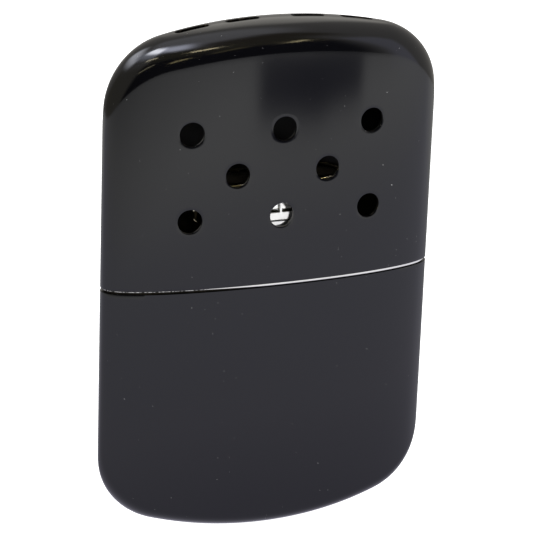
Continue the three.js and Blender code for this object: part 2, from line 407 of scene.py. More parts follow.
def tank_case():
    columns = [
        HALF_WIDTH * math.sin(math.pi / 2 * k / CASE_COLUMNS)
        for k in range(-CASE_COLUMNS, CASE_COLUMNS + 1)
    ]
    rows = [("turn", math.pi / 2 * k / CASE_TURNS) for k in range(CASE_TURNS + 1)]
    rows += [("share", (None, case_high.z, k / CASE_ROWS)) for k in range(1, CASE_ROWS + 1)]
    bm = drawn_half(BOTTOM, columns, rows, case_high.z)
    give_wall(bm, SHELL_WALL, inner=1)
    for v in bm.verts:
        v.co.z = max(v.co.z, case_low.z)
    soften_edges(bm, SHELL_EDGE_ROUND)
    finished("tank_case_fine", bm, "tank", "black_enamel", shell_finish, "tank_case")


tank_case()


# Cotton. Three wads of loose cotton wool, pushed into the tank one after another, which hold
# the fuel. They bulge where they are free and lie flat on each other and the wall.
COTTON_INSET = 1.62 * MM
COTTON_CORNER = 2.2 * MM
COTTON_LUMP = 0.5 * MM
COTTON_LUMP_WIDTH = 5 * MM
# How fast the finer lumps fade, how much finer each layer of them is, and how many there are.
LUMP_LAYERS = (0.8, 2.1, 4)
STRAND_STRETCHES = [(5, 1, 1.6), (1.3, 1, 5), (2.6, 3, 1)]
STRAND_FALL = 7.0
RING_STEPS = 168
ARC_STEPS = 6


def arc(inset, z, reach, rise, start, stop, steps=ARC_STEPS):
    """Points (inset, z) on a rounded edge: 0 degrees points outwards and 90 degrees up."""
    turns = [math.radians(start + (stop - start) * k / steps) for k in range(steps + 1)]
    return [(inset - reach * math.cos(t), z + rise * math.sin(t)) for t in turns]


def body_oval(share, inset):
    """Point on the body's oval section, a share of the way round."""
    turn = math.tau * share
    x = (HALF_WIDTH - inset) * math.cos(turn)
    return x, math.copysign(section_depth(x, inset), math.sin(turn))


def lofted(outline, profile, ring=False):
    """Sweeps a profile of (inset, z) points round an outline. A ring's profile closes on itself;
    otherwise its ends lie where the outline has shrunk to a line."""
    bm = bmesh.new()
    steps = len(profile) if ring else len(profile) - 1
    for v, i, j in grid_cells(bm, RING_STEPS, steps):
        *inset, z = profile[j % len(profile)]
        x, y = outline(i % RING_STEPS / RING_STEPS, *inset)
        v.co = Vector((x, y, z))
    closed_up(bm)
    return bm


def pad_profile(inset, middle, low, high, corner, crown_rows=5, side_rows=8):
    """Profile of a soft pad: in from its middle line, round the lower corner, up and back."""
    flat = [middle + (inset + corner - middle) * k / crown_rows for k in range(crown_rows)]
    rise = high - low - 2 * corner
    side = [(inset, low + corner + rise * k / side_rows) for k in range(1, side_rows)]
    return (
        [(place, low) for place in flat]
        + arc(inset + corner, low + corner, corner, corner, -90, 0)
        + side
        + arc(inset + corner, high - corner, corner, corner, 0, 90)
        + [(place, high) for place in reversed(flat)]
    )


def lumpy(bm, height, width, seed):
    """Moves the skin in by an uneven amount, never out, so that it keeps clear of its wall."""
    bm.normal_update()
    shift = Vector((seed, 2 * seed, 3 * seed))
    moves = {
        v: v.normal * -height * (0.5 + 0.5 * noise.fractal(v.co / width + shift, *LUMP_LAYERS))
        for v in bm.verts
    }
    for v, move in moves.items():
        v.co += move


def tangled_fibres():
    """Mask of crossing strands, and the normal of a surface that they cover."""
    group, given, result = effect("tangled_fibres", ["Mask", "Normal"], Width=0.3, Height=0.05)
    mask = 0.0
    for stretch in STRAND_STRETCHES:
        strand = clouds(
            group, stretch, Scale=computed("DIVIDE", 1.0, given["Width"]),
            Detail=4.0, Roughness=0.6, Distortion=0.6)
        off_middle = computed("ABSOLUTE", computed("SUBTRACT", strand, 0.5))
        fall = computed("MULTIPLY", off_middle, STRAND_FALL)
        mask = computed("MAXIMUM", mask, computed("SUBTRACT", 1.0, fall))
    plug(result, Mask=mask, Normal=bumped(mask, given["Height"]))
    return group


fibres = tangled_fibres()


def fibrous(name, low, high, width, height, sheen):
    material, tree, shader = new_material(
        name, Roughness=0.95, Sheen_Weight=sheen, Sheen_Roughness=0.5)
    tangle = placed(tree, fibres, Width=width, Height=height)
    plug(shader, Base_Color=graded(tangle["Mask"], low, high), Normal=tangle["Normal"])
    return material


cotton_wool = fibrous("cotton_wool", (0.1, (0.62, 0.6, 0.55)), (0.8, (0.86, 0.85, 0.81)),
                      width=0.6, height=0.08, sheen=0.4)


def cotton_wad(level, seed):
    name = "cotton_" + level
    low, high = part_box(name)
    bm = lofted(body_oval, pad_profile(COTTON_INSET, HALF_DEPTH, low.z, high.z, COTTON_CORNER))
    for v in bm.verts:
        v.co.z = max(v.co.z, rounded_end_z(BOTTOM, v.co.x, v.co.y) + COTTON_INSET)
    lumpy(bm, COTTON_LUMP, COTTON_LUMP_WIDTH, seed)
    wad = finished(name + "_wad", bm, "tank", "cotton_wool", [cotton_wool], name)


for seed, level in enumerate(("lower", "middle", "upper"), start=1):
    cotton_wad(level, seed)


# Collar sleeve. A band of chromed steel pressed into the mouth of the case, which the cap slides
# on. Its bead has a flat face, which shows as a bright line in the seam: thinner at both ends,
# and dimmed at the left by painted shade in dark blotches. Under the bead the collar is painted
# nearly black, as painted shade in the gap.
collar_low, collar_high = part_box("collar_sleeve")
COLLAR_INSET = 0.72 * MM
COLLAR_WALL = 0.5 * MM
COLLAR_LIP_ROUND = 0.2 * MM
BEAD_REACH = COLLAR_INSET - (HALF_WIDTH - collar_high.x)
BEAD_LOW = case_high.z + 0.2 * MM
BEAD_HEIGHT = 0.37 * MM
BEAD_ROUND = 0.02 * MM
BEAD_THINNED = 0.25 * MM
# Where, along x, the bead starts to thin at each end and where it is thinnest.
BEAD_THIN_PLACES = [(-3 * MM, -14 * MM), (30.5 * MM, 32.5 * MM)]
# Where the painted shade on the bead starts at the left, and how far noise moves that line.
BEAD_SHADE_FROM = -15 * MM
BEAD_SHADE_WOBBLE = 4 * MM
SUPPORT = 0.06 * MM
SCRATCH_STRETCH = (1, 1, 40)
SCRATCH_DULLNESS = 0.09
FILM_DULLNESS = 0.08


def rounded_wall(outer, inner, bottom, top, corner, relief=()):
    """Closed profile of a wall with rounded corners; relief is what stands out of its outside."""
    flat = [(outer, bottom + corner + SUPPORT), *relief, (outer, top - corner - SUPPORT)]
    return (
        arc(outer + corner, bottom + corner, corner, corner, -90, 0)
        + flat
        + arc(outer + corner, top - corner, corner, corner, 0, 90)
        + arc(inner - corner, top - corner, corner, corner, 90, 180)
        + [(inner, top - corner - SUPPORT), (inner, bottom + corner + SUPPORT)]
        + arc(inner - corner, bottom + corner, corner, corner, 180, 270)
    )


def flat_bead(outer, low, high, reach, corner):
    """A bead with a flat face and rounded edges."""
    face = outer - reach + corner
    return (
        [(outer, low - SUPPORT), (outer, low)]
        + arc(face, low + corner, corner, corner, -90, 0, steps=4)
        + arc(face, high - corner, corner, corner, 0, 90, steps=4)
        + [(outer, high), (outer, high + SUPPORT)]
    )


def drawn_scratches():
    """Fine scratches along one axis: how deep each place is, and the normal."""
    group, given, result = effect(
        "drawn_scratches", ["Mask", "Normal"], Width=0.05, Height=0.0006, Share=0.5)
    lines = clouds(
        group, SCRATCH_STRETCH, Scale=computed("DIVIDE", 1.0, given["Width"]),
        Detail=5.0, Roughness=0.7)
    there = computed("LESS_THAN", clouds(group, Scale=0.3, Detail=3.0), given["Share"])
    scored = computed("MULTIPLY", lines, there)
    plug(result, Mask=scored, Normal=bumped(scored, given["Height"]))
    return group


scratches = drawn_scratches()


def bright_metal(name, color, gloss, width, share, dull):
    """Plated or polished metal with fine scratches, and thin dulled patches in its gloss."""
    material, tree, shader = new_material(name, Metallic=1.0, IOR=1.5)
    lines = placed(tree, scratches, Width=width, Height=0.0005, Share=share)
    film = clouds(tree, Scale=0.12, Detail=5.0, Roughness=0.6)
    wear_and_shade = computed("MULTIPLY", lines["Mask"], SCRATCH_DULLNESS)
    wear_and_shade = computed("ADD", wear_and_shade, computed("MULTIPLY", film, FILM_DULLNESS))
    plug(shader, Base_Color=graded(film, (0.35, color), (0.75, [c * dull for c in color])),
         Roughness=computed("ADD", wear_and_shade, gloss), Normal=lines["Normal"])
    return material


chrome = bright_metal(
    "chrome_plate", (0.96, 0.95, 0.88), gloss=0.02, width=0.06, share=0.52, dull=0.85)
# Plating in dark and bright blotches: painted shade that dims the seam's bright line at the left
# end of the bead.
painted_shade_plating = blotched(
    "painted_shade_plating", {"Scale": 2.2, "Detail": 5.0}, (0.42, (0.03, 0.03, 0.027)),
    (0.58, (0.85, 0.84, 0.78)), Metallic=1.0, Roughness=0.2)
# The third finish, the nearly black inside of the shell, is painted under the bead as shade in the
# gap.
collar_finish = [chrome, painted_shade_plating, shell_finish[1]]


def collar_sleeve():
    bead_high = BEAD_LOW + BEAD_HEIGHT
    bm = lofted(body_oval, rounded_wall(
        COLLAR_INSET, COLLAR_INSET + COLLAR_WALL, collar_low.z, collar_high.z, COLLAR_LIP_ROUND,
        flat_bead(COLLAR_INSET, BEAD_LOW, bead_high, BEAD_REACH, BEAD_ROUND)), ring=True)
    for f in bm.faces:
        place = f.calc_center_median()
        # Bead faces at the left get the blotched plating as painted shade.
        wear_and_shade = place.x < BEAD_SHADE_FROM + BEAD_SHADE_WOBBLE * noise.noise(place / MM)
        if wear_and_shade and BEAD_LOW - SUPPORT < place.z < bead_high + SUPPORT:
            f.material_index = 1
        # Faces under the bead get the nearly black finish: painted shade in the gap above the case.
        if place.z < BEAD_LOW - SUPPORT / 4:
            f.material_index = 2
    for v in bm.verts:
        if BEAD_LOW - 2 * SUPPORT < v.co.z < BEAD_LOW + BEAD_HEIGHT / 2:
            shares = [(v.co.x - start) / (stop - start) for start, stop in BEAD_THIN_PLACES]
            v.co.z += BEAD_THINNED * clamped(max(shares))
    finished("collar_sleeve_fine", bm, "tank", "chrome_plate", collar_finish, "collar_sleeve")


collar_sleeve()


# Tank top plate. A pressed plate that closes the tank, brazed round the top of the collar. Its
# shoulder is rounded, and the filler neck comes up through the slot in its middle.
plate_low, plate_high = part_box("tank_top_plate")
PLATE_WALL = 0.5 * MM
PLATE_SHOULDER = 0.8 * MM
PLATE_HOLE_ROUND = 0.2 * MM
PLATE_ROWS = 10
NECK_FLANGE = 0.45 * MM
NECK_FIT = 0.15 * MM
neck_low, neck_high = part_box("filler_neck")
NECK_HALF_WIDTH = neck_high.x - NECK_FLANGE
NECK_HALF_DEPTH = neck_high.y - NECK_FLANGE


def round_ended(half_width, half_depth):
    """Outline with straight sides and round ends, as the neck and the burner have."""
    end_x = half_width - half_depth

    def outline(share, inset):
        turn = math.tau * share
        x = (half_width - inset) * math.cos(turn)
        past = max(abs(x) - end_x, 0)
        radius = half_depth - inset
        return x, math.copysign(math.sqrt(max(radius ** 2 - past ** 2, 0)), math.sin(turn))

    return outline


neck_outline = round_ended(NECK_HALF_WIDTH, NECK_HALF_DEPTH)


def plate_outline(share, rim_inset, across, hole_inset):
    """Point of the plate, from its rim (across 0) to its hole (across 1). The rim runs beside
    the straight sides of the hole and fans out round its ends."""
    hole = Vector(neck_outline(share, hole_inset))
    straight = NECK_HALF_WIDTH - NECK_HALF_DEPTH
    x = neck_outline(share, 0.0)[0]
    past = max(abs(x) - straight, 0) / NECK_HALF_DEPTH
    rim_x = min(abs(x), straight) + past * (HALF_WIDTH - rim_inset - straight)
    rim = Vector((math.copysign(rim_x, x), math.copysign(section_depth(rim_x, rim_inset), hole.y)))
    return rim.lerp(hole, across)


def tank_top_plate():
    edge = COLLAR_INSET + PLATE_SHOULDER
    hole = -NECK_FIT - PLATE_HOLE_ROUND
    under = plate_high.z - PLATE_WALL
    bend = PLATE_SHOULDER - PLATE_WALL
    shoulder = arc(
        edge, plate_low.z, PLATE_SHOULDER, plate_high.z - plate_low.z, 0, 90, steps=8)
    lip = arc(hole, plate_high.z - PLATE_HOLE_ROUND, -PLATE_HOLE_ROUND, PLATE_HOLE_ROUND, 90, 0)
    bend_under = arc(edge, plate_low.z, bend, under - plate_low.z, 90, 0, steps=4)
    shares = [k / PLATE_ROWS for k in range(1, PLATE_ROWS)]
    rows = [(inset, 0.0, hole, z) for inset, z in shoulder]
    rows += [(edge, share, hole, plate_high.z) for share in shares]
    rows += [(edge, 1.0, inset, z) for inset, z in lip]
    rows += [(edge, 1.0, -NECK_FIT, under)]
    rows += [(edge, share, hole, under) for share in reversed(shares)]
    rows += [(inset, 0.0, hole, z) for inset, z in bend_under]
    bm = lofted(plate_outline, rows, ring=True)
    finished("tank_top_plate_fine", bm, "tank", "chrome_plate", [chrome], "tank_top_plate")


tank_top_plate()


# Filler neck. An oval tube through the plate, swaged to a bead that seats on it, with a rolled
# lip. Fuel is poured in here, and the burner's skirt grips its outside.
NECK_WALL = 0.45 * MM
NECK_LIP_ROUND = 0.2 * MM
NECK_BEAD_HALF = 0.2 * MM


def rolled_bead(outer, middle, reach, half):
    round_part = arc(outer, middle, reach, half, -90, 90, steps=12)
    return [(outer, middle - half - SUPPORT)] + round_part + [(outer, middle + half + SUPPORT)]


def filler_neck():
    bead = rolled_bead(0.0, plate_high.z + NECK_BEAD_HALF, NECK_FLANGE, NECK_BEAD_HALF)
    bm = lofted(neck_outline, rounded_wall(
        0.0, NECK_WALL, neck_low.z, neck_high.z, NECK_LIP_ROUND, bead), ring=True)
    finished("filler_neck_fine", bm, "tank", "chrome_plate", [chrome], "filler_neck")


filler_neck()


# Wick felt and neck screen. A pad of wool felt in the neck carries fuel up from the cotton, and
# a slotted steel plate pressed in over it keeps it down.
FELT_CORNER = 0.5 * MM
FELT_FUZZ = 0.12 * MM
FELT_FUZZ_WIDTH = 0.9 * MM
wick_felt_wool = fibrous("wick_felt_wool", (0.1, (0.36, 0.34, 0.3)), (0.85, (0.66, 0.63, 0.56)),
                         width=0.35, height=0.05, sheen=0.3)
burner_steel = bright_metal(
    "burner_steel", (0.66, 0.65, 0.63), gloss=0.06, width=0.09, share=0.6, dull=0.8)


def wick_felt():
    low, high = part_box("wick_felt")
    outline = round_ended(high.x, high.y)
    bm = lofted(outline, pad_profile(0.0, high.y, low.z, high.z, FELT_CORNER))
    lumpy(bm, FELT_FUZZ, FELT_FUZZ_WIDTH, seed=7)
    pad = finished("wick_felt_pad", bm, "tank", "wick_felt", [wick_felt_wool], "wick_felt")


def refinish(name, material):
    """A piece that keeps its shape gets the finish of the pieces round it."""
    piece = bpy.data.objects[name]
    for slot in piece.material_slots:
        slot.material = material


wick_felt()
refinish("neck_screen", burner_steel)


# Burner skirt. A satin steel band, round-ended like the neck, that slides down over it. It stops
# just short of the cage, which leaves a dark line between them. Its edges are broken by a light
# tumble, and the burner's heat has browned its ends.
skirt_low, skirt_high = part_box("burner_skirt")
cage_low, cage_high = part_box("burner_cage")
SKIRT_TOP = skirt_high.z - 0.3 * MM
SKIRT_WALL = 0.4 * MM
SKIRT_EDGE_ROUND = 0.1 * MM
SATIN_COLOR = (0.86, 0.86, 0.86)
BROWNED_COLOR = (0.88, 0.81, 0.62, 1)
BROWNED_HEIGHT = (cage_high.z - 2.4 * MM, cage_high.z - 1.0 * MM)
BROWNED_PLACE = (cage_high.x - 8 * MM, cage_high.x - 4 * MM)
SATIN_METALLIC = 0.08
SATIN_GLOSS = 0.3
POLISH_GLOSS = 0.04


def object_axes(tree):
    place = node(tree, "ShaderNodeTexCoord").outputs["Object"]
    return node(tree, "ShaderNodeSeparateXYZ", Vector=place).outputs


def share_between(value, span):
    """0 before the span, 1 past it, and even between."""
    return spread(value, 0.0, 1.0, *span)


def browned_steel():
    """Satin steel at the front and back, browned and smooth on top and round the ends."""
    material = bright_metal(
        "browned_steel", SATIN_COLOR, gloss=0.2, width=0.09, share=0.6, dull=0.85)
    tree = material.node_tree
    shader = tree.nodes["Principled BSDF"]
    satin = shader.inputs["Base Color"].links[0].from_socket
    axes = object_axes(tree)
    upper = share_between(axes["Z"], BROWNED_HEIGHT)
    outer = share_between(computed("ABSOLUTE", axes["X"]), BROWNED_PLACE)
    heat = computed("MAXIMUM", upper, outer)
    plug(shader, Base_Color=mixed(heat, satin, BROWNED_COLOR),
         Metallic=spread(heat, SATIN_METALLIC, 1.0),
         Roughness=spread(heat, SATIN_GLOSS, POLISH_GLOSS))
    return material


browned = browned_steel()


def burner_skirt():
    bm = lofted(round_ended(skirt_high.x, skirt_high.y), rounded_wall(
        0.0, SKIRT_WALL, skirt_low.z, SKIRT_TOP, SKIRT_EDGE_ROUND), ring=True)
    finished("burner_skirt_fine", bm, "burner", "burner_steel", [browned], "burner_skirt")


burner_skirt()
refinish("mat_shelf", burner_steel)


# Catalyst mat. A pad of glass fibre with platinum on it, in which the fuel vapour burns without
# a flame. Loose fibres stand out of it at the cage's windows.
mat_low, mat_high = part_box("catalyst_mat")
MAT_CORNER = 0.35 * MM
MAT_LUMP = 0.22 * MM
MAT_LUMP_WIDTH = 1.1 * MM
FIBRE_COUNT = 420
FIBRE_RADIUS = 0.022 * MM
FIBRE_LENGTH = (1.2 * MM, 3.4 * MM)
FIBRE_RISE = 0.16 * MM
FIBRE_LEAST_RISE = 0.3
FIBRE_INTO_MAT = 0.4
FIBRE_STEPS = 6
FIBRE_SIDES = 3
# Nearly black colour on top of the mat, and the heights over which the fibre darkens to it.
DARK_TOP_COLOR = (0.009, 0.007, 0.004, 1)
DARK_TOP_HEIGHT = (mat_high.z - 0.5 * MM, mat_high.z - 0.2 * MM)


def platinum_fibre():
    """White glass fibre, nearly black towards the top of the mat."""
    material, tree, shader = new_material("glass_fibre", Roughness=0.9, IOR=1.3)
    tangle = placed(tree, fibres, Width=0.28, Height=0.03)
    white = graded(tangle["Mask"], (0.02, (0.4, 0.39, 0.38)),
                   (0.25, (0.88, 0.88, 0.87)), (0.7, (0.97, 0.97, 0.96)))
    dark_top = share_between(object_axes(tree)["Z"], DARK_TOP_HEIGHT)
    plug(shader, Base_Color=mixed(dark_top, white, DARK_TOP_COLOR), Normal=tangle["Normal"])
    return material


glass_fibre = platinum_fibre()


def add_fibre(bm, start, along, outward, length, rise):
    """One loose fibre: a thin strand that leaves the surface and comes back to it."""
    sideways = along.cross(outward).normalized()
    rings = []
    for k in range(FIBRE_STEPS + 1):
        share = k / FIBRE_STEPS
        middle = start + along * length * share + outward * rise * math.sin(math.pi * share)
        ring = []
        for s in range(FIBRE_SIDES):
            turn = math.tau * s / FIBRE_SIDES
            offset = outward * math.cos(turn) + sideways * math.sin(turn)
            ring.append(bm.verts.new(middle + offset * FIBRE_RADIUS))
        rings.append(ring)
    for low_ring, high_ring in zip(rings, rings[1:]):
        for s in range(FIBRE_SIDES):
            t = (s + 1) % FIBRE_SIDES
            bm.faces.new((low_ring[s], low_ring[t], high_ring[t], high_ring[s]))
    bm.faces.new(rings[0])
    bm.faces.new(reversed(rings[-1]))


def catalyst_mat():
    profile = pad_profile(
        0.0, mat_high.y, mat_low.z, mat_high.z, MAT_CORNER, crown_rows=8, side_rows=18)
    bm = lofted(round_ended(mat_high.x, mat_high.y), profile)
    lumpy(bm, MAT_LUMP, MAT_LUMP_WIDTH, seed=11)
    draw = random.Random(5)
    flat_x = mat_high.x - mat_high.y - FIBRE_LENGTH[1]
    places = [
        (f.calc_center_median(), f.normal.copy())
        for f in bm.faces if abs(f.calc_center_median().x) < flat_x
    ]
    for place, outward in draw.choices(places, k=FIBRE_COUNT):
        spin = draw.uniform(0, math.tau)
        flat = Vector((math.cos(spin), FIBRE_INTO_MAT * math.sin(spin), math.sin(spin)))
        along = (flat - outward * flat.dot(outward)).normalized()
        length = draw.uniform(*FIBRE_LENGTH)
        rise = draw.uniform(FIBRE_LEAST_RISE, 1) * FIBRE_RISE
        add_fibre(bm, place, along, outward, length, rise)
    for v in bm.verts:
        v.co.y = clamped(v.co.y, mat_low.y, mat_high.y)
        v.co.z = clamped(v.co.z, mat_low.z, mat_high.z)
    bmesh.ops.recalc_face_normals(bm, faces=bm.faces)
    mat = finished("catalyst_mat_pad", bm, "burner", "glass_fibre", [glass_fibre], "catalyst_mat")


catalyst_mat()


# Burner cage. A drawn steel cover with four windows on each side, which holds the mat. Its top
# edge is turned in over the mat, and its lower band stands on the skirt. The bars between the
# windows are narrow, and all windows sit a little right of the middle.
CAGE_WALL = 0.4 * MM
CAGE_LIP = 0.9 * MM
CAGE_BEND = 0.35 * MM
CAGE_BAND = 1.35 * MM
CAGE_TOP_BAND = 0.9 * MM
CAGE_EDGE_ROUND = 0.06 * MM
WINDOW_PITCH = 4.5 * MM
WINDOW_BAR = 0.36 * MM
WINDOW_SHIFT = 0.45 * MM
WINDOW_CORNER = 0.35 * MM
WINDOWS_PER_SIDE = 4
WINDOW_CELLS = 4
WINDOW_ROWS = 5
END_STEPS = 16


def cage_columns():
    """Places round the cage as (x along a side, side, turn round its end, in a window)."""
    end_x = cage_high.x - cage_high.y
    cell = (WINDOW_PITCH - WINDOW_BAR) / WINDOW_CELLS
    side = [(-end_x, False)]
    for k in range(WINDOWS_PER_SIDE):
        left = (k - WINDOWS_PER_SIDE / 2) * WINDOW_PITCH + WINDOW_BAR / 2 + WINDOW_SHIFT
        side += [(left + cell * c, True) for c in range(WINDOW_CELLS)]
        side += [(left + cell * WINDOW_CELLS, False)]
    side = [(clamped(x, -end_x, end_x), window) for x, window in side]
    columns = []
    for facing in (-1, 1):
        columns += [(-facing * x, facing, 0.0, window) for x, window in side]
        columns += [
            (-facing * end_x, facing, math.pi * k / END_STEPS, False) for k in range(END_STEPS)
        ]
    return columns


def cage_point(column, inset):
    x, facing, turn, window = column
    radius = cage_high.y - inset
    return x - facing * radius * math.sin(turn), facing * radius * math.cos(turn)


def burner_cage():
    window_low = cage_low.z + CAGE_BAND
    window_high = cage_high.z - CAGE_TOP_BAND
    rows = [(0.0, cage_low.z), (0.0, cage_low.z + CAGE_BAND / 2)]
    window_rows = range(len(rows), len(rows) + WINDOW_ROWS)
    rise = (window_high - window_low) / WINDOW_ROWS
    rows += [(0.0, window_low + rise * k) for k in range(WINDOW_ROWS + 1)]
    rows += arc(CAGE_BEND, cage_high.z - CAGE_BEND, CAGE_BEND, CAGE_BEND, 0, 90)
    rows += [(CAGE_WALL + CAGE_LIP, cage_high.z)]
    columns = cage_columns()
    bm = bmesh.new()
    cells = grid_cells(bm, len(columns), len(rows) - 1)
    at = {v: (i, j) for v, i, j in cells}
    openings = []
    for f in bm.faces:
        i = min(at[v][0] for v in f.verts)
        j = min(at[v][1] for v in f.verts)
        if columns[i][3] and j in window_rows:
            openings.append(f)
    for v, i, j in cells:
        inset, z = rows[j]
        x, y = cage_point(columns[i % len(columns)], inset)
        v.co = Vector((x, y, z))
    bmesh.ops.delete(bm, geom=openings, context="FACES")
    closed_up(bm)
    corners = [v for v in bm.verts if v.is_boundary and len(v.link_faces) == 3]
    bevelled(bm, corners, WINDOW_CORNER, 4, "VERTICES")
    bmesh.ops.recalc_face_normals(bm, faces=bm.faces)
    if min(bm.faces, key=lambda f: f.calc_center_median().y).normal.y > 0:
        bmesh.ops.reverse_faces(bm, faces=bm.faces)
    give_wall(bm, CAGE_WALL)
    soften_edges(bm, CAGE_EDGE_ROUND, segments=2)
    finished("burner_cage_fine", bm, "burner", "burner_steel", [browned], "burner_cage")


burner_cage()


# Cap shell. Drawn and enamelled like the case, then pierced with eight vents in the front, eight
# in the back and four slots along the ridge. It slides on over the collar.
cap_low, cap_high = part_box("cap_shell")
TOP = {"z": cap_high.z, "up": 1, "corner": 14.2 * MM, "arc": 105 * MM, "round": 5.2 * MM}
VENT_RADIUS = 2.35 * MM
VENT_PITCH = 17.84 * MM
VENT_ROW_PITCH = 8.4 * MM
VENT_TOP_ROW = cap_high.z - 19.6 * MM
VENT_ROWS = [(-1, 0, 1), (-1 / 2, 1 / 2), (-1, 0, 1)]
PITCH_CELLS = 32
VENT_CELLS = 4
VENT_BLOCK_CELLS = 8
CELL_SLACK = 0.01
VENT_EDGE_ROUND = 0.05 * MM
CAP_EDGE_ROUND = 0.18 * MM
CELL_X = VENT_PITCH / PITCH_CELLS
CELL_Z = 2 * VENT_ROW_PITCH / PITCH_CELLS
FACE_CELLS = 40
SIDE_COLUMNS = 22
SLOT_HALF_LENGTH = 3.3 * MM
SLOT_HALF_WIDTH = 0.8 * MM
SLOT_PLACES = [-16.25 * MM, -6.43 * MM, 6.43 * MM, 16.25 * MM]
SLOT_ROWS = 4
SLOT_CELLS = 6
SLOT_BLEND_ROWS = 4
SLOT_BLEND_CELLS = 2.5
DOME_ROWS = 22
MARGIN_ROWS = 5
EDGE_ROWS = 6


def cap_columns():
    face = [k * CELL_X for k in range(FACE_CELLS + 1)]
    start = math.asin(face[-1] / HALF_WIDTH)
    turns = [start + (math.pi / 2 - start) * k / SIDE_COLUMNS for k in range(1, SIDE_COLUMNS + 1)]
    half = face + [HALF_WIDTH * math.sin(turn) for turn in turns]
    return [-x for x in reversed(half[1:])] + half


def squared_to_round(dx, dz, half_x=0.0):
    """Moves a point of a square onto a circle, or onto the round end of a slot."""
    if abs(dx) <= half_x:
        return dx, dz
    side = math.copysign(half_x, dx)
    past = dx - side
    length = math.hypot(past, dz)
    if length == 0:
        return dx, dz
    ring = max(abs(past), abs(dz))
    return side + past * ring / length, dz * ring / length


def eased(share):
    share = clamped(share)
    return share * share * (3 - 2 * share)


vent_places = [
    (share * VENT_PITCH, VENT_TOP_ROW - row * VENT_ROW_PITCH)
    for row, shares in enumerate(VENT_ROWS) for share in shares
]


def around_vent(x, z):
    """Where a lattice point goes so that a square of cells becomes a round vent, and whether it
    is in that square."""
    for vent_x, vent_z in vent_places:
        dx = (x - vent_x) / CELL_X
        dz = (z - vent_z) / CELL_Z
        ring = max(abs(dx), abs(dz))
        if ring < VENT_BLOCK_CELLS - CELL_SLACK:
            rx, rz = squared_to_round(dx, dz)
            scale = VENT_RADIUS / VENT_CELLS
            away = eased((ring - VENT_CELLS) / (VENT_BLOCK_CELLS - VENT_CELLS))
            to_x = vent_x + rx * scale * (1 - away) + dx * CELL_X * away
            to_z = vent_z + rz * scale * (1 - away) + dz * CELL_Z * away
            return to_x, to_z, ring < VENT_CELLS + CELL_SLACK
    return x, z, False


def around_slot(x, y, row):
    """The same for the slots along the ridge: a rectangle of cells becomes a slot."""
    for slot_x in SLOT_PLACES:
        middle = round(slot_x / CELL_X)
        cells = x / CELL_X - middle
        past_end = (abs(cells) - SLOT_CELLS) / SLOT_BLEND_CELLS
        away = max(past_end, (row - SLOT_ROWS) / SLOT_BLEND_ROWS)
        if away < 1:
            kept = clamped(cells, -SLOT_CELLS, SLOT_CELLS)
            flat_y = SLOT_HALF_WIDTH * min(row, SLOT_ROWS) / SLOT_ROWS
            to_x, to_y = squared_to_round(
                kept / SLOT_CELLS * SLOT_HALF_LENGTH, flat_y, SLOT_HALF_LENGTH - SLOT_HALF_WIDTH)
            near = 1 - eased(away)
            move_x = slot_x + to_x - (middle + kept) * CELL_X
            return x + move_x * near, y + (to_y - min(y, flat_y)) * near, away < CELL_SLACK
    return x, y, False


def cap_shell():
    slot_turn = math.asin(SLOT_HALF_WIDTH / HALF_DEPTH)
    rest = math.pi / 2 - slot_turn
    rows = [("turn", slot_turn * k / SLOT_ROWS) for k in range(SLOT_ROWS)]
    rows += [("turn", slot_turn + rest * k / DOME_ROWS) for k in range(DOME_ROWS + 1)]
    block = VENT_BLOCK_CELLS * CELL_Z
    lattice_top = VENT_TOP_ROW + 2 * block
    lattice_foot = vent_places[-1][1] - 2 * block
    rows += [("share", (None, lattice_top, k / MARGIN_ROWS)) for k in range(1, MARGIN_ROWS)]
    count = round((lattice_top - lattice_foot) / CELL_Z)
    rows += [("level", lattice_top - k * CELL_Z) for k in range(count + 1)]
    rows += [("share", (lattice_foot, cap_low.z, k / EDGE_ROWS)) for k in range(1, EDGE_ROWS + 1)]
    punched = {"reach": FACE_CELLS * CELL_X, "ridge": around_slot, "face": around_vent}
    bm = drawn_half(TOP, cap_columns(), rows, cap_low.z, punched)
    give_wall(bm, SHELL_WALL, inner=1, rim=2)
    soften_edges(bm, CAP_EDGE_ROUND, below=cap_low.z + MERGE)
    soften_edges(bm, VENT_EDGE_ROUND)
    finished("cap_shell_fine", bm, "cap", "black_enamel", shell_finish, "cap_shell")


cap_shell()


# Studio. A pale floor and white surroundings. What the gloss of the enamel and the chrome sees is
# a room round the warmer: dark in front, grey beside and behind, with soft lamps high up.
FLOOR_HALF = 4.0
FLOOR_COLOR = (0.86, 0.86, 0.87, 1)
FLOOR_BOUNCE = (0.2, 0.2, 0.2, 1)
FLOOR_LIFT = 0.95
# What the gloss sees of the floor: dim under the warmer, brightest far out in front, and dark
# past a line on the left and behind.
FLOOR_GLOSS_REACH = 300 * MM
FLOOR_BRIGHT_AZIMUTH = -16
FLOOR_BRIGHT_SHARE = 0.47
FLOOR_DARK_AZIMUTH = -43
FLOOR_DARK_LINE = (168 * MM, 420 * MM)
FLOOR_DARK_COLOR = (0.14, 0.14, 0.12, 1)
FLOOR_BACK_AZIMUTH = 158
FLOOR_BACK_SHARE = (0.3, 1.1)
FLOOR_GLOSS_LEVEL = 1.2
FLOOR_GLOSS = [
    (0.06, (0.48, 0.47, 0.57)), (0.2, (0.62, 0.61, 0.71)), (0.36, (0.66, 0.66, 0.76)),
    (0.52, (0.71, 0.71, 0.79)), (0.66, (0.85, 0.85, 0.88)), (0.78, (1.0, 1.0, 1.0)),
]
WORLD_DIFFUSE = 0.03
